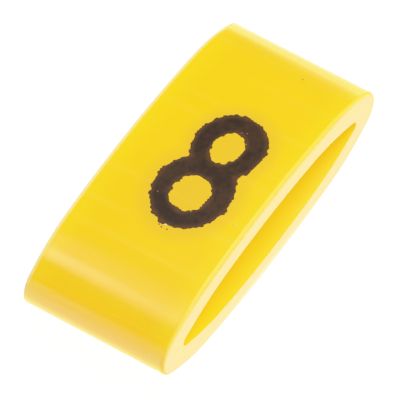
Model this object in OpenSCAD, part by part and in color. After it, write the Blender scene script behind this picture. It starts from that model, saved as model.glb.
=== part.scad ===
// Slide-on cable marker: a short cut of oval sleeve in soft vinyl, pushed along a cable and read from above.
// Millimetres. X runs along the cable, Y across the oval, Z up. The origin is under the middle of the belly.

/* [Oval] */
// Length of the cut piece, along the cable
length = 5; // [3:0.5:10]
// Width of the oval, from tip to tip
width = 11.9; // [11.4:0.1:12.6]
// Thickness of the oval, from belly to back
thickness = 3.46; // [3.3:0.02:3.6]
// Radius of the two tips
tip_r = 0.85; // [0.6:0.05:1]
// Radius of the four shoulders, where the back and the belly bend towards the tips
shoulder_r = 5; // [4:0.25:6]
// How many times flatter the back is than one single arc from tip to tip
flatness = 1.6; // [1.3:0.1:2]

/* [Passage] */
// Wall above and below the passage
wall = 0.77; // [0.7:0.01:0.85]
// Wall between each end of the passage and the tip beside it
tip_wall = 1.1; // [1:0.02:1.2]
// Radius of the passage's two ends
passage_end_r = 0.22; // [0.16:0.02:0.3]
// Radius of the passage's four shoulders
passage_shoulder_r = 7.5; // [6:0.25:8]

/* [Hidden] */

// Sides of a full circle, many because the back and the belly are long flat arcs
$fn = 360;
// How far the rooms that end the arcs stand clear of the oval
clear = 1;
// What the rounder arcs are too big by, so that each surely takes over from the flatter one before it
hair = 0.0001;
vinyl_yellow = [0.97, 0.84, 0.14];

half_width = width / 2;
half_thickness = thickness / 2;

// The radius that a single arc from tip to tip would have, if it ran into both tips without a corner
function single_arc_r(half_w, half_h, end_r) =
    half_h + (pow(half_w - end_r, 2) - pow(half_h - end_r, 2)) / (2 * (half_h - end_r));

// The centres of the long arc, of a shoulder and of a tip are the corners of a triangle with known sides.
// Its angles give the lean, from upright, at which the long arc ends and at which the shoulder ends.
function leans(tip_y, depth, long_r, bend_r, end_r) =
    let (
        to_bend = long_r - bend_r,
        to_tip = bend_r - end_r,
        across = norm([tip_y, depth]),
        turn = acos((across * across - to_bend * to_bend - to_tip * to_tip) / (2 * to_bend * to_tip)),
        first = atan2(tip_y, depth) - asin(to_tip * sin(turn) / across)
    )
    [first, first + turn];

// The room between two seams, one on each side. A seam crosses the middle line at this distance and leans
// outwards from there, above and below alike.
module room(half_h, seam_y, lean) {
    top = half_h + clear;
    top_y = seam_y + top * tan(lean);
    polygon([[seam_y, 0], [top_y, top], [-top_y, top], [-seam_y, 0], [-top_y, -top], [top_y, -top]]);
}

// What two equal discs share, one of them centred at this height and the other as far on the other side
module shared(y, height, radius) {
    intersection_for (side = [-1, 1])
        translate([y, side * height])
            circle(r = radius);
}

// An oval as compasses draw it: a long arc over the back, a rounder one down each shoulder and a small one
// round each tip, and the same below. Each arc runs into the next without a corner, at a seam that passes
// through the centres of both. So the discs are cut off at their seams, and the next ones take over.
module oval(half_w, half_h, bend_r, end_r) {
    tip_y = half_w - end_r;
    long_r = flatness * single_arc_r(half_w, half_h, end_r);
    depth = long_r - half_h;
    lean = leans(tip_y, depth, long_r, bend_r, end_r);
    bend_y = (long_r - bend_r) * sin(lean[0]);
    bend_height = (long_r - bend_r) * cos(lean[0]) - depth;
    intersection() {
        union() {
            intersection() {
                shared(0, depth, long_r);
                room(half_h, depth * tan(lean[0]), lean[0]);
            }
            for (side = [-1, 1])
                shared(side * bend_y, bend_height, bend_r + hair);
        }
        room(half_h, tip_y, lean[1]);
    }
    for (side = [-1, 1])
        translate([side * tip_y, 0])
            circle(r = end_r + 2 * hair);
}

// What the die gives the endless sleeve: an oval with a thinner oval through it for the cable
module section() {
    difference() {
        oval(half_width, half_thickness, shoulder_r, tip_r);
        oval(half_width - tip_wall, half_thickness - wall, passage_shoulder_r, passage_end_r);
    }
}

// The marker is one piece, cut square from the extruded sleeve
module sleeve() {
    color(vinyl_yellow)
        translate([0, 0, half_thickness])
            rotate([90, 0, 90])
                linear_extrude(height = length, center = true)
                    section();
}

sleeve();
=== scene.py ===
# %% [markdown]
# # A slide-on cable marker
# A cable marker is a short cut of soft vinyl tube that is pushed along a cable, so that the cable can be told
# from its neighbours. Seen along the cable it is a flat lens, which grips cables of several thicknesses. The
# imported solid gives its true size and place. This lesson remakes its skin as a fine mesh, prints the numeral
# on it as a film of ink, and then sets up the finishes, the lights and the camera.

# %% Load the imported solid
import math

import bmesh
import bpy
from mathutils import Matrix, Vector, noise


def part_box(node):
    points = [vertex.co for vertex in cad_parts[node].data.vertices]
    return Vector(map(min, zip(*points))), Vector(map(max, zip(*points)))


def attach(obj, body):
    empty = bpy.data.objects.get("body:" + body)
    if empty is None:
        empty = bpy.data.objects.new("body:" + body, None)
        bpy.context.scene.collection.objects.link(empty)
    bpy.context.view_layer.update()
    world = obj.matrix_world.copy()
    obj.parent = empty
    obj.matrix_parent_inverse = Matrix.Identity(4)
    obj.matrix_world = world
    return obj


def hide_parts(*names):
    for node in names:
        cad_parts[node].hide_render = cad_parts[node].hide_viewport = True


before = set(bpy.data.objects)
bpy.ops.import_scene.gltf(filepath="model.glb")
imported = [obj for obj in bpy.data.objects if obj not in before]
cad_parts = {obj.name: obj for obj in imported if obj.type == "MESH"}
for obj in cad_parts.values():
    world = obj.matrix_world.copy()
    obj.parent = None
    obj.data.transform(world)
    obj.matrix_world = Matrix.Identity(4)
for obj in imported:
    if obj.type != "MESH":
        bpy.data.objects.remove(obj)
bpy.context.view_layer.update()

MM = 0.001
low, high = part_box("sleeve")
middle = (low + high) / 2
length, width, thickness = high - low
print("sleeve, mm:", [round(side / MM, 3) for side in (length, width, thickness)])

# %% [markdown]
# ## The sleeve
# The real sleeve is pushed out of a die as one endless tube and then chopped into pieces. So its section is
# the same all along, and the only edges are those that the blade leaves at the two ends. The section is an
# oval: a long flat arc over the back, a rounder one down each shoulder, a small one round each tip, and the
# same below. A thinner oval of the same kind is the passage for the cable.
#
# Such an oval could be typed in as a list of points. It is drawn here as a draughtsman draws it with
# compasses instead: one point swings round eight centres in turn, and the spin operator leaves an edge at
# each step. The arcs run into each other without a corner where the two centres and the point lie on one
# line. So the centres of long arc, shoulder and tip make a triangle whose sides are known, and its angles say
# how far to swing.

# %% Swing a point round eight centres
tip_radius = 0.85 * MM
shoulder_radius = 5 * MM
flatness = 1.6
wall = 0.77 * MM
tip_wall = 1.1 * MM
passage_end_radius = 0.22 * MM
passage_shoulder_radius = 7.5 * MM
long_steps = 72
shoulder_steps = 24
tip_steps = 28
seam_gap = 0.001 * MM


def long_radius(half_w, half_h, end_radius):
    """Radius of the long arc: some times flatter than a single arc from tip to tip would be."""
    tip_y = half_w - end_radius
    tip_rise = half_h - end_radius
    return flatness * (half_h + (tip_y**2 - tip_rise**2) / (2 * tip_rise))


def only(kind, geometry):
    """The verts, edges or faces among what an operator gives back."""
    return [item for item in geometry if isinstance(item, kind)]


def oval_loop(bm, x, half_w, half_h, bend_radius, end_radius):
    """Draw an oval as a closed loop of edges on the plane at x, and return its edges."""
    tip_y = half_w - end_radius
    radius = long_radius(half_w, half_h, end_radius)
    depth = radius - half_h
    to_bend = radius - bend_radius
    to_tip = bend_radius - end_radius
    across = math.hypot(tip_y, depth)
    bend = math.acos((across**2 - to_bend**2 - to_tip**2) / (2 * to_bend * to_tip))
    lean = math.atan2(tip_y, depth) - math.asin(to_tip * math.sin(bend) / across)
    bend_y = to_bend * math.sin(lean)
    bend_z = to_bend * math.cos(lean) - depth
    tip_turn = math.pi - 2 * (lean + bend)
    turns = (
        (0, -depth, 2 * lean, long_steps),
        (-bend_y, bend_z, bend, shoulder_steps),
        (-tip_y, 0, tip_turn, tip_steps),
        (-bend_y, -bend_z, bend, shoulder_steps),
        (0, depth, 2 * lean, long_steps),
        (bend_y, -bend_z, bend, shoulder_steps),
        (tip_y, 0, tip_turn, tip_steps),
        (bend_y, bend_z, bend, shoulder_steps),
    )
    start = Vector((x, radius * math.sin(lean), middle.z - depth + radius * math.cos(lean)))
    before = set(bm.verts)
    moving = [bm.verts.new(start)]
    for y, z, angle, steps in turns:
        swung = bmesh.ops.spin(
            bm, geom=moving, cent=(x, y, middle.z + z), axis=(1, 0, 0), angle=angle, steps=steps
        )
        moving = only(bmesh.types.BMVert, swung["geom_last"])
    drawn = [vert for vert in bm.verts if vert not in before]
    bmesh.ops.remove_doubles(bm, verts=drawn, dist=seam_gap)
    drawn = [vert for vert in bm.verts if vert not in before]
    return list({edge for vert in drawn for edge in vert.link_edges})


# %% [markdown]
# A bridge between the outer loop and the passage's loop gives the section as a ring of faces. Pulled along
# the cable, that ring becomes the whole sleeve at once: skin, passage and both cut faces. The blade drags the
# skin a little as it goes through, so the outer rims are rounded with a bevel, while those of the passage
# stay sharp. A narrow inset round each cut face keeps the smooth shading of the rim from bleeding over the
# flat face. Some helpers come first: two that know the faces and edges of a cut, and two that end every
# piece.

# %% Helpers for pieces
squareness_of_cut = 0.999
square_corner = math.radians(80)


def is_cut(face):
    """True for a face that the blade has left, square to the cable."""
    return abs(face.normal.x) > squareness_of_cut


def is_rim(edge):
    """True for an edge where a cut face meets the outer skin, and not the passage."""
    if edge.calc_face_angle(0) < square_corner:
        return False
    flat = max(edge.link_faces, key=lambda face: abs(face.normal.x))
    side = next(face for face in edge.link_faces if face is not flat)
    outward = side.calc_center_median() - middle
    outward.x = 0
    return side.normal.dot(outward) > 0


def finished_mesh(bm, name):
    """Turn the working mesh into one that an object can hold."""
    mesh = bpy.data.meshes.new(name)
    bm.to_mesh(mesh)
    bm.free()
    return mesh


def piece(name, mesh):
    """A new object at the origin, whose place is in its mesh."""
    made = bpy.data.objects.new(name, mesh)
    bpy.context.scene.collection.objects.link(made)
    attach(made, "root")
    return made


# %% Pull the section along the cable
rim_radius = 0.09 * MM
rim_segments = 6
rows_along = 60
face_border = 0.015 * MM
crease = math.radians(40)
SKIN, CUT = 0, 1


def sleeve_mesh():
    """The sleeve as one closed mesh."""
    bm = bmesh.new()
    half_w, half_h = width / 2, thickness / 2
    rim = oval_loop(bm, low.x, half_w, half_h, shoulder_radius, tip_radius)
    mouth_w, mouth_h = half_w - tip_wall, half_h - wall
    mouth = oval_loop(bm, low.x, mouth_w, mouth_h, passage_shoulder_radius, passage_end_radius)
    ring = bmesh.ops.bridge_loops(bm, edges=rim + mouth)["faces"]
    pulled = bmesh.ops.extrude_face_region(bm, geom=ring)["geom"]
    bmesh.ops.translate(bm, verts=only(bmesh.types.BMVert, pulled), vec=(length, 0, 0))
    bmesh.ops.recalc_face_normals(bm, faces=bm.faces)
    rims = [edge for edge in bm.edges if is_rim(edge)]
    bmesh.ops.bevel(
        bm, geom=rims, offset=rim_radius, offset_type="OFFSET", affect="EDGES",
        segments=rim_segments, profile=0.5, material=-1, clamp_overlap=True,
    )
    cut = [face for face in bm.faces if is_cut(face)]
    bmesh.ops.inset_region(bm, faces=cut, thickness=face_border, use_even_offset=True)
    lengthwise = [edge for edge in bm.edges if edge.calc_length() > length / 2]
    bmesh.ops.subdivide_edges(bm, edges=lengthwise, cuts=rows_along, use_grid_fill=True)
    for face in bm.faces:
        face.smooth = True
        face.material_index = CUT if is_cut(face) else SKIN
    for edge in bm.edges:
        edge.smooth = edge.calc_face_angle(0) < crease
    return finished_mesh(bm, "sleeve_skin")


sleeve = piece("sleeve_skin", sleeve_mesh())
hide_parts("sleeve")
print("sleeve faces:", len(sleeve.data.polygons))

# %% [markdown]
# ## The numeral
# The numeral is printed by a heated head with a row of tiny dots, about eight to a millimetre. Each dot
# leaves a round spot of ink that is wider than the distance to the next, so the strokes close up, but their
# edges stay scalloped. A font would give smooth edges, and a picture would only fit one size. So the numeral
# is printed here as the head prints it.
#
# The strokes come first. Each loop of the numeral is a squarish oval with a squarish hole, given in
# millimetres from the numeral's middle. The print leans a little, as it often does on a sleeve that twists in
# the printer.

# %% Lay out the strokes
numeral_place = Vector((0.34, 0, 0)) * MM
numeral_turn = Matrix.Rotation(math.radians(-5.7), 3, "Z")
loops = (
    {"middle": (-0.03, 0.96), "half": (1.085, 1.27), "squareness": 2.2},
    {"middle": (0.115, -0.99), "half": (1.22, 1.43), "squareness": 1.94},
)
holes = (
    {"middle": (-0.04, 0.89), "half": (0.455, 0.645), "squareness": 2.15},
    {"middle": (0.11, -1.105), "half": (0.585, 0.66), "squareness": 2.27},
)


def in_oval(x, y, oval, grow):
    """True inside a squarish oval that is grown, or shrunk, by a distance."""
    across = abs(x / MM - oval["middle"][0]) / (oval["half"][0] + grow / MM)
    up = abs(y / MM - oval["middle"][1]) / (oval["half"][1] + grow / MM)
    return across ** oval["squareness"] + up ** oval["squareness"] < 1


def in_stroke(x, y, inset):
    """True inside a stroke, and at least the inset away from its edge."""
    in_loop = any(in_oval(x, y, oval, -inset) for oval in loops)
    return in_loop and not any(in_oval(x, y, oval, inset) for oval in holes)


# %% [markdown]
# A dot is printed where its middle lies well inside a stroke, and no two dots come out quite the same size. A
# dictionary holds the radius of every printed dot, by its column and row. Warm ink also runs together between
# the dots, so a point is inked where a dot covers it or where it lies deep enough in a stroke.

# %% Print the dots
dot_pitch = 0.12 * MM
dot_radius = 0.085 * MM
dot_inset = 0.012 * MM
dot_unevenness = 0.16
noise_step, noise_level = 0.83, 0.5
run_inset = 0.004 * MM
columns, rows = 25, 45


def printed_dots():
    """The radius of each printed dot, by its column and row from the numeral's middle."""
    dots = {}
    for column in range(-(columns // 2), columns // 2 + 1):
        for row in range(-(rows // 2), rows // 2 + 1):
            if in_stroke(column * dot_pitch, row * dot_pitch, dot_inset):
                spot = Vector((column * noise_step, row * noise_step, noise_level))
                uneven = noise.noise(spot)
                dots[column, row] = dot_radius * (1 + dot_unevenness * uneven)
    return dots


dots = printed_dots()
print("dots printed:", len(dots))

# %% [markdown]
# The film of ink starts as a flat grid, much finer than the dots. Its faces stay where they are inked and go
# elsewhere, and a little smoothing along the edge does what the spreading ink does. Then it is turned, laid
# on the back of the sleeve, and given a body of about a hundredth of a millimetre.

# %% Make the film of ink
cells_per_dot = 4
spread_steps = 3
ink_sink = 0.006 * MM
ink_rise = 0.010 * MM
back_radius = long_radius(width / 2, thickness / 2, tip_radius)


def back_height(y):
    """Height of the sleeve's back at y, on the long arc."""
    return high.z - back_radius + math.sqrt(back_radius**2 - y**2)


def inked(x, y):
    """True where a printed dot covers the point, or the ink has run together."""
    if in_stroke(x, y, run_inset):
        return True
    near_column, near_row = round(x / dot_pitch), round(y / dot_pitch)
    for column in range(near_column - 1, near_column + 2):
        for row in range(near_row - 1, near_row + 2):
            radius = dots.get((column, row), 0)
            if math.hypot(x - column * dot_pitch, y - row * dot_pitch) < radius:
                return True
    return False


def give_body(bm, sink, rise):
    """Lay flat faces on the back of the sleeve, and make them a closed film."""
    for vert in bm.verts:
        vert.co.z = back_height(vert.co.y) - sink
    risen = bmesh.ops.extrude_face_region(bm, geom=bm.faces)["geom"]
    bmesh.ops.translate(bm, verts=only(bmesh.types.BMVert, risen), vec=(0, 0, sink + rise))
    bmesh.ops.recalc_face_normals(bm, faces=bm.faces)
    for face in bm.faces:
        face.smooth = True
    for edge in bm.edges:
        edge.smooth = edge.calc_face_angle(0) < crease


def numeral_mesh():
    """The ink of the numeral, as a thin film wrapped over the back."""
    bm = bmesh.new()
    sheet = Matrix.Diagonal((columns * dot_pitch / 2, rows * dot_pitch / 2, 1, 1))
    across, up = columns * cells_per_dot, rows * cells_per_dot
    bmesh.ops.create_grid(bm, x_segments=across, y_segments=up, size=1, matrix=sheet)
    bare = [face for face in bm.faces if not inked(*face.calc_center_median().xy)]
    bmesh.ops.delete(bm, geom=bare, context="FACES")
    edge_of_ink = [vert for vert in bm.verts if vert.is_boundary]
    for _ in range(spread_steps):
        bmesh.ops.smooth_vert(bm, verts=edge_of_ink, factor=0.5, use_axis_x=True, use_axis_y=True)
    bmesh.ops.rotate(bm, verts=bm.verts, cent=(0, 0, 0), matrix=numeral_turn)
    bmesh.ops.translate(bm, verts=bm.verts, vec=numeral_place)
    give_body(bm, ink_sink, ink_rise)
    return finished_mesh(bm, "numeral_ink")


numeral = piece("numeral_ink", numeral_mesh())
print("numeral faces:", len(numeral.data.polygons))

# %% [markdown]
# ## Flecks
# Close up, the print is not clean. Three tiny drops of ink have landed below the numeral, and a dark speck
# sits near the far tip. Chips of ink are missing at the numeral's foot, and the vinyl is scuffed at one place.
# The three smallest pale flecks, in the strokes, are painted glints, where the ink catches the light. All this
# could be part of the finishes. But a fleck has a place and a size, so each one is a small squashed disc with
# an uneven edge, listed by its middle and its radius in millimetres.

# %% Scatter the flecks
fleck_sides = 14
fleck_rise = 0.013 * MM
fleck_squash = 0.7
fleck_unevenness = 0.25 * fleck_rise
fleck_noise = 0.02 * MM
dark_flecks = (
    ((0.13, -2.51), 0.024), ((0.24, -2.56), 0.028), ((0.43, -2.54), 0.026), ((0.76, 4.55), 0.020),
)
# chips at the foot, a scuff on the vinyl, and three painted glints on the strokes
chip_and_glint_flecks = (
    ((0.31, -2.43), 0.044), ((0.25, -2.47), 0.022), ((2.08, -1.37), 0.028), ((-0.52, -1.56), 0.014),
    ((0.58, 1.70), 0.013), ((0.44, 1.63), 0.010),
)


def fleck_mesh(name, flecks):
    """Small squashed discs on the back of the sleeve."""
    bm = bmesh.new()
    for number, ((x, y), radius) in enumerate(flecks):
        squash = Matrix.Diagonal((1, fleck_squash, 1, 1)) @ Matrix.Rotation(number, 4, "Z")
        place = Matrix.Translation((x * MM, y * MM, 0)) @ squash
        bmesh.ops.create_circle(
            bm, cap_ends=True, segments=fleck_sides, radius=radius * MM, matrix=place
        )
    for vert in bm.verts:
        vert.co.x += fleck_unevenness * noise.noise(vert.co / fleck_noise)
    give_body(bm, ink_sink, fleck_rise)
    return finished_mesh(bm, name)


spatter = piece("ink_spatter", fleck_mesh("ink_spatter", dark_flecks))
# chips, a scuff and painted glints, all as pale flecks
chip_and_glint_piece = piece("ink_chips_and_glints", fleck_mesh("ink_chips_and_glints", chip_and_glint_flecks))
print("flecks:", len(dark_flecks), "dark,", len(chip_and_glint_flecks), "pale")

# %% [markdown]
# ## Finishes
# Shader maths is easier to read as sums than as a web of nodes. A wire stands for the output of a node, and
# sums with wires add Math nodes. A recipe is one material's node tree, and its one method adds any other
# node.

# %% Wires and recipes
class Wire:
    """An output of a node, which works in sums like a number."""

    def __init__(self, recipe, socket):
        self.recipe = recipe
        self.socket = socket

    def sum(self, operation, first, second):
        return self.recipe.node("Math", {"operation": operation}, {"Value": first, "Value_001": second})

    def __add__(self, other):
        return self.sum("ADD", self, other)

    def __sub__(self, other):
        return self.sum("SUBTRACT", self, other)

    def __rsub__(self, other):
        return self.sum("SUBTRACT", other, self)

    def __mul__(self, other):
        return self.sum("MULTIPLY", self, other)

    def __truediv__(self, other):
        return self.sum("DIVIDE", self, other)

    def __abs__(self):
        return self.sum("ABSOLUTE", self, 0)

    __radd__ = __add__
    __rmul__ = __mul__


class Recipe:
    """One material, built up from nodes."""

    def __init__(self, name):
        self.material = bpy.data.materials.new(name)
        self.material.use_nodes = True
        self.tree = self.material.node_tree
        self.tree.nodes.clear()

    def node(self, kind, settings=None, inputs=None, output=0):
        """Add a node, first its settings and then its inputs by identifier. Returns a wire from an output."""
        made = self.tree.nodes.new("ShaderNode" + kind)
        for name, value in (settings or {}).items():
            setattr(made, name, value)
        sockets = {socket.identifier: socket for socket in made.inputs}
        for name, value in (inputs or {}).items():
            if isinstance(value, Wire):
                self.tree.links.new(value.socket, sockets[name])
            else:
                sockets[name].default_value = value
        chosen = made.outputs[output] if made.outputs else None
        return Wire(self, chosen)

    def finish(self, shader):
        """Send a shader to the material's output."""
        self.node("OutputMaterial", inputs={"Surface": shader})
        return self.material


def srgb(red, green, blue):
    """A colour picked on screen, from 0 to 255, as the linear colour that a shader takes."""
    parts = [part / 255 for part in (red, green, blue)]
    return tuple(p / 12.92 if p <= 0.04045 else ((p + 0.055) / 1.055) ** 2.4 for p in parts) + (1,)


# %% [markdown]
# Every finish needs to know where on the marker it is. The object's own coordinates, in millimetres, give
# that in the render and in an exported model alike. They come as three wires, with noise drawn from them at
# need.

# %% Places and noise
def place_on_marker(r):
    """The object's own coordinates as three wires, in millimetres."""
    where = r.node("TexCoord", output=3)
    across = r.node("SeparateXYZ", inputs={"Vector": where}, output=0)
    x, y, z = (Wire(r, socket) for socket in across.socket.node.outputs)
    return x / MM, y / MM, z / MM


def speckle(r, x, y, z, scale, detail=3.0):
    """Noise between about 0 and 1, from three coordinates that may be stretched."""
    vector = r.node("CombineXYZ", inputs={"X": x, "Y": y, "Z": z})
    return r.node("TexNoise", inputs={"Vector": vector, "Scale": scale, "Detail": detail})


def ramp(r, value, start, end):
    """Rise smoothly from 0 to 1 while a value goes from start to end."""
    settings = {"interpolation_type": "SMOOTHSTEP"}
    return r.node("MapRange", settings, {"Value": value, "From Min": start, "From Max": end})


def blend(r, share, first, second):
    """Mix two colours."""
    settings = {"data_type": "RGBA"}
    inputs = {"Factor_Float": share, "A_Color": first, "B_Color": second}
    return r.node("Mix", settings, inputs, output=2)


# %% [markdown]
# The numeral leaves its mark on two finishes: the vinyl is duller round it, where the hot head has touched
# it, and the ink is thinner towards the edges of the strokes. Both could be painted by hand. They follow the
# same ovals as the strokes here, so that they can't drift away from them.

# %% Reach of the numeral
def reach(r, x, y, ovals):
    """How far out a place on the numeral is, squared: 0 in the middle of the nearer oval, 1 at its edge."""
    turn = numeral_turn.transposed()
    from_x, from_y = x - numeral_place.x / MM, y - numeral_place.y / MM
    across, up = (from_x * turn[row][0] + from_y * turn[row][1] for row in (0, 1))
    reaches = []
    for oval in ovals:
        along_x = (across - oval["middle"][0]) / oval["half"][0]
        along_y = (up - oval["middle"][1]) / oval["half"][1]
        reaches.append(along_x * along_x + along_y * along_y)
    return reaches[0].sum("MINIMUM", reaches[0], reaches[1])


# %% [markdown]
# The skin is soft vinyl, dyed right through and smoothed by the die, so it is a glossy yellow with faint
# lines along the cable. It looks more lemon near the cut ends. Low down it is painted warmer, a painted
# tone for the golden look that the light and the floor's reflection give the lower tips. Each such change is
# a zone: two numbers, in millimetres, where it begins and where it is complete.

# %% Colour of the skin
plain_yellow = (0.90, 0.57, 0.003, 1)
# painted warmth: the yellow used low down, standing in for how the light tints the lower tips
painted_warm_yellow = (0.985, 0.575, 0.003, 1)
lemon_yellow = (0.93, 0.62, 0.004, 1)
streak_yellow = (0.90, 0.62, 0.060, 1)
dull_yellow = (0.75, 0.485, 0.022, 1)
painted_warm_zone = (2.8, 2.1)
lemon_zone = (1.5, 2.4)
back_zone = (middle.z / MM + 0.7, middle.z / MM + 1.2)
halo_reach = (2.2, 0.9)
streak_range = (0.56, 0.72)


def skin_colour(r, x, y, z, die_lines):
    """Yellow that changes towards the ends, painted warmer low down, with streaks and a dull halo round the
    numeral.
    """
    mottle = speckle(r, x, y, z, 1.3)
    to_end = ramp(r, abs(x), *lemon_zone) * 0.8 + (mottle - 0.5) * 0.5
    halo = ramp(r, reach(r, x, y, loops), *halo_reach) * ramp(r, z, *back_zone)
    # painted warmth low down, for the light on the lower tips
    colour = blend(r, ramp(r, z, *painted_warm_zone), plain_yellow, painted_warm_yellow)
    colour = blend(r, to_end, colour, lemon_yellow)
    colour = blend(r, ramp(r, die_lines, *streak_range) * 0.15, colour, streak_yellow)
    return blend(r, halo * 0.75, colour, dull_yellow)


# %% [markdown]
# At the rims the blade has stretched and torn the vinyl, so they are paler and matte. Towards the tips and
# round the far end they are painted paler still, a painted glow for the bright floor along those edges. In
# the passage no lamp shines straight on the walls, and yet they look bright, because thin vinyl lets light
# through. True scattering would need far more samples, so a faint painted glow takes its place, and the
# walls' yellow is painted much darker, as painted shade, so that the glow sets how bright they are. Handling
# has rubbed some of the gloss off the near end, and off the tips.

# %% Vinyl skin
# painted shade: the passage walls take a much darker yellow, and a painted glow sets their brightness
passage_shade_yellow = (0.34, 0.205, 0.002, 1)
light_through = (0.60, 0.405, 0.006, 1)
no_light = (0, 0, 0, 1)
rim_yellow = (0.88, 0.57, 0.050, 1)
# painted glow: rims near the tips turn paler, for the bright floor's glow on those edges
tip_rim_glow_yellow = (0.98, 0.66, 0.200, 1)
# painted glow: the rim round the far end turns paler still, for the bright floor's glow there
far_end_glow_yellow = (0.96, 0.75, 0.40, 1)
half_length = length / MM / 2
passage_height_zone, passage_width_zone = (1.02, 0.96), (4.9, 4.8)
rim_zone, rim_tip_glow_zone = (0.08, -0.02), (3.6, 5.4)
far_end_glow_zone = (0.18 - half_length, -half_length)
matte_zone = (0.14, 0.08)
rubbed_zone, worn_zone = (-2.2, 2.2), (5.2, 5.8)
skin_dent = 0.02 * MM


def vinyl_skin():
    """Glossy yellow vinyl with pale matte rims, painted paler at the tips and far end, and painted shade and
    glow in the passage.
    """
    r = Recipe("vinyl_skin")
    x, y, z = place_on_marker(r)
    die_lines = speckle(r, x * 0.05, y, z, 2.6, 1.0)
    grain = speckle(r, x * 0.5, y, z, 14.0)
    in_height = ramp(r, abs(z - middle.z / MM), *passage_height_zone)
    inside = in_height * ramp(r, abs(y), *passage_width_zone)
    to_edge = half_length - abs(x)
    rim = ramp(r, to_edge, *rim_zone) * (1 - inside)
    # painted glow round the far end
    far_end_glow = ramp(r, x, *far_end_glow_zone) * (1 - inside)
    matte = ramp(r, to_edge, *matte_zone) * (1 - inside)
    rubbed, worn = ramp(r, x, *rubbed_zone), ramp(r, abs(y), *worn_zone)
    # rims are torn vinyl, painted paler towards the tips for the floor's glow
    rim_colour = blend(r, ramp(r, abs(y), *rim_tip_glow_zone), rim_yellow, tip_rim_glow_yellow)
    # painted shade in the passage, with the painted glow set further down
    colour = blend(r, inside, skin_colour(r, x, y, z, die_lines), passage_shade_yellow)
    colour = blend(r, rim, colour, rim_colour)
    colour = blend(r, far_end_glow, colour, far_end_glow_yellow)
    dents = die_lines + grain * 0.1
    lost_gloss = rubbed * 0.05 + worn * 0.12 + matte * 0.45 + inside * 0.08
    skin_roughness = 0.13 + die_lines * 0.08 + lost_gloss
    bump = r.node("Bump", inputs={"Strength": 0.18, "Distance": skin_dent, "Height": dents})
    return r.finish(r.node("BsdfPrincipled", inputs={
        "Base Color": colour,
        "Roughness": skin_roughness,
        "Specular IOR Level": 1.0, "Normal": bump,
        "Emission Color": blend(r, inside, no_light, light_through), "Emission Strength": 1.0,
    }))


# %% [markdown]
# The blade leaves the two cut faces dull and pale, with fine marks along its way. The pale colour comes from
# tiny tears that scatter the light, so it is stronger where the marks are. Under the back the blade goes in
# cleanly, and a narrow margin stays yellow. Towards the foot the face is painted paler, a painted glow for the
# bright floor shining into its lower edge. Light that comes through the vinyl leaves at these faces too, so
# they glow faintly.

# %% Vinyl cut
cut_yellow = (0.69, 0.35, 0.062, 1)
torn_yellow = (0.73, 0.40, 0.112, 1)
margin_yellow = (0.73, 0.37, 0.002, 1)
# painted glow: the foot of each cut face turns paler, for the bright floor's glow at its lower edge
foot_glow_yellow = (0.79, 0.60, 0.32, 1)
cut_glow = (0.34, 0.23, 0.066, 1)
mark_range = (0.3, 0.7)
margin_zone, foot_glow_zone = (0.26, 0.10), (0.45, 0.0)


def vinyl_cut():
    """Dull pale vinyl, as the blade leaves it, painted paler towards the foot."""
    r = Recipe("vinyl_cut")
    x, y, z = place_on_marker(r)
    marks = speckle(r, x, y * 0.35 + z, z * 3, 5.0)
    below_back = high.z / MM - y * y / (2 * back_radius / MM) - z
    colour = blend(r, ramp(r, marks, *mark_range), cut_yellow, torn_yellow)
    colour = blend(r, ramp(r, below_back, *margin_zone), colour, margin_yellow)
    # painted glow towards the foot
    colour = blend(r, ramp(r, z, *foot_glow_zone), colour, foot_glow_yellow)
    bump = r.node("Bump", inputs={"Strength": 0.2, "Distance": skin_dent, "Height": marks})
    return r.finish(r.node("BsdfPrincipled", inputs={
        "Base Color": colour, "Roughness": 0.36 + marks * 0.16, "Specular IOR Level": 1.0, "Normal": bump,
        "Emission Color": cut_glow, "Emission Strength": 1.0,
    }))


# %% [markdown]
# The ink is a brownish black and not quite even: some dots carry more of it than others, and towards the
# edges of the strokes it thins out and looks browner. It is dull beside the vinyl. The pale flecks are bare
# vinyl that is scuffed, so they are nearly white in places, and the same finish paints the glints on the
# strokes.

# %% Ink and flecks
full_ink = srgb(53, 39, 29)
thin_ink = srgb(100, 70, 42)
bare_vinyl_and_glint = srgb(228, 204, 172)
outer_edge_reach, inner_edge_reach = (0.72, 1.0), (1.7, 1.0)
load_range = (0.35, 0.65)


def ink():
    """Printed ink, thicker in some places than in others."""
    r = Recipe("numeral_ink")
    x, y, z = place_on_marker(r)
    load = speckle(r, x, y, z, 2.2) * 0.7 + speckle(r, x, y, z, 9.0) * 0.3
    outer_edge = ramp(r, reach(r, x, y, loops), *outer_edge_reach)
    inner_edge = ramp(r, reach(r, x, y, holes), *inner_edge_reach)
    thinness = ramp(r, load, *load_range) * 0.3 + (outer_edge + inner_edge) * 0.6
    bump = r.node("Bump", inputs={"Strength": 0.15, "Distance": skin_dent, "Height": load})
    return r.finish(r.node("BsdfPrincipled", inputs={
        "Base Color": blend(r, thinness, full_ink, thin_ink),
        "Roughness": 0.35 + load * 0.2, "Specular IOR Level": 0.2, "Normal": bump,
    }))


def scuffed_and_glints():
    """Bare vinyl where ink or skin has come off, and painted glints on the ink."""
    r = Recipe("scuffed_vinyl_and_glints")
    x, y, z = place_on_marker(r)
    colour = blend(r, speckle(r, x, y, z, 30.0), bare_vinyl_and_glint, plain_yellow)
    return r.finish(r.node("BsdfPrincipled", inputs={"Base Color": colour, "Roughness": 0.6}))


ink_finish = ink()
sleeve.data.materials.append(vinyl_skin())
sleeve.data.materials.append(vinyl_cut())
numeral.data.materials.append(ink_finish)
spatter.data.materials.append(ink_finish)
chip_and_glint_piece.data.materials.append(scuffed_and_glints())
print("finishes:", [material.name for material in bpy.data.materials])

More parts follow.
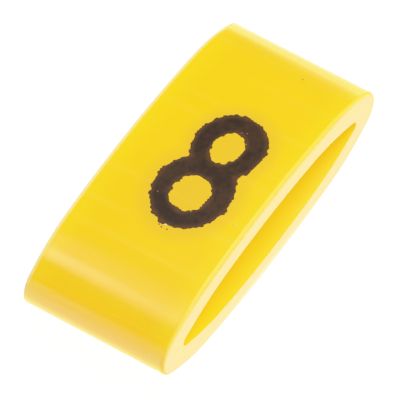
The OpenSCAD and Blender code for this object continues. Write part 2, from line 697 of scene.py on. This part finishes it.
# %% [markdown]
# ## Floor, light and camera
# The marker lies on a white table that is lit from below, which is how such small parts are photographed: the
# ground comes out pure white and no shadow is left. The table is a plain square that shines by itself. Its
# light also fills the passage and the cut face, and its reflection makes the lower edges fade to white.

# %% Floor
floor_half = 0.6
floor_shine = 1.45


def floor_finish():
    """White acrylic with lamps behind it."""
    r = Recipe("floor")
    return r.finish(r.node("BsdfPrincipled", inputs={
        "Base Color": (0.2, 0.2, 0.2, 1), "Roughness": 0.9, "Specular IOR Level": 0.0,
        "Emission Color": (1, 1, 1, 1), "Emission Strength": floor_shine,
    }))


bm = bmesh.new()
bmesh.ops.create_grid(bm, x_segments=1, y_segments=1, size=floor_half)
floor = bpy.data.objects.new("floor", finished_mesh(bm, "floor"))
bpy.context.scene.collection.objects.link(floor)
floor.data.materials.append(floor_finish())

# %% [markdown]
# A glossy piece shows its lights as reflections, so they are placed by what they do. The key softbox stands
# almost overhead, where the back doesn't mirror it towards the camera. A small lamp behind the marker is
# mirrored in the shoulder, as the pale strip there, and a wider, weaker one beside it lets that strip fade
# out. Both are a little rosy. A dim card in front is mirrored in the tip below it, and another one lights the
# far end. Each light is set by how bright it looks from the marker, which doesn't change with its distance.

# %% Lights
light_distance = 0.45
rosy = (1, 0.55, 0.95)
room_shine = 0.10


def softbox(name, direction, size, luminance, tint=(1, 1, 1)):
    """A round area light that faces the marker, set by how bright it looks from there."""
    data = bpy.data.lights.new(name, "AREA")
    data.color = tint
    data.shape = "DISK"
    data.size = size
    data.energy = luminance * math.pi * math.pi * (size / 2) ** 2
    made = bpy.data.objects.new(name, data)
    towards = Vector(direction).normalized()
    made.location = middle + towards * light_distance
    made.rotation_euler = towards.to_track_quat("Z", "Y").to_euler()
    bpy.context.scene.collection.objects.link(made)


softbox("key_softbox", direction=(0.22, 0.20, 0.955), size=0.24, luminance=17.3)
softbox("shoulder_lamp", direction=(-0.31, -0.29, 0.91), size=0.055, luminance=3.7, tint=rosy)
softbox("shoulder_glow", direction=(-0.31, -0.16, 0.94), size=0.13, luminance=0.7, tint=rosy)
softbox("front_card", direction=(-0.25, -0.92, 0.30), size=0.26, luminance=1.08)
softbox("side_card", direction=(-0.95, -0.10, 0.25), size=0.26, luminance=0.35)

world = bpy.data.worlds.new("studio")
world.use_nodes = True
background = world.node_tree.nodes["Background"]
background.inputs["Color"].default_value = (1, 1, 1, 1)
background.inputs["Strength"].default_value = room_shine
bpy.context.scene.world = world
print("lights:", [light.name for light in bpy.data.lights])

# %% [markdown]
# A camera doesn't let a bright colour run straight into white. It presses the brightest values together, so
# that a bright yellow keeps its red just below the limit while its green still follows the light. That makes
# the dim parts of the yellow look more golden. A curve does the same here. Up to the bend it leaves the light
# as it is.

# %% Film curve
film_limit = 2.0
film_bends = ((0.8, 0.8), (0.934, 0.885), (1.064, 0.94), (1.3, 0.98), (1.6, 1.0), (2.0, 1.0))

view = bpy.context.scene.view_settings
view.view_transform = "Standard"
view.use_curve_mapping = True
view.curve_mapping.white_level = (film_limit, film_limit, film_limit)
film = view.curve_mapping.curves[3]
film.points[-1].location = (1, 1)
for light, shown in film_bends[:-1]:
    film.points.new(light / film_limit, shown)
for point in film.points:
    point.handle_type = "VECTOR"
view.curve_mapping.update()
print("film curve:", [tuple(round(part, 3) for part in point.location) for point in film.points])

# %% [markdown]
# The camera looks down on the near cut end from the right. Its place and its scale were found by laying the
# oval's outlines over those in the photograph, so they are given as it was measured: two angles, a slight
# roll, and where in the picture the middle of the marker falls.

# %% Camera
azimuth = math.radians(31.98)
elevation = math.radians(53.96)
roll = math.radians(0.7)
camera_distance = 241.6 * MM
pixels_per_mm = 33.258
image_side = 400
centre_at = (200.355, 196.588)
sensor = 36

back = Vector((
    math.sin(azimuth) * math.cos(elevation), -math.cos(azimuth) * math.cos(elevation), math.sin(elevation)
))
level = Vector((math.cos(azimuth), math.sin(azimuth), 0))
rise = back.cross(level)
right = level * math.cos(roll) + rise * math.sin(roll)
up = rise * math.cos(roll) - level * math.sin(roll)
aim = middle
aim = aim - right * (centre_at[0] - image_side / 2) / pixels_per_mm * MM
aim = aim - up * (image_side / 2 - centre_at[1]) / pixels_per_mm * MM
camera_data = bpy.data.cameras.new("camera")
camera_data.sensor_width = sensor
camera_data.lens = sensor * pixels_per_mm * camera_distance / MM / image_side
camera_data.clip_start = 0.01
camera_data.clip_end = 5
camera = bpy.data.objects.new("camera", camera_data)
turn = Matrix((right, up, back)).transposed().to_4x4()
camera.matrix_world = Matrix.Translation(aim + back * camera_distance) @ turn
bpy.context.scene.collection.objects.link(camera)
bpy.context.scene.camera = camera
print("lens, mm:", round(camera_data.lens, 2))
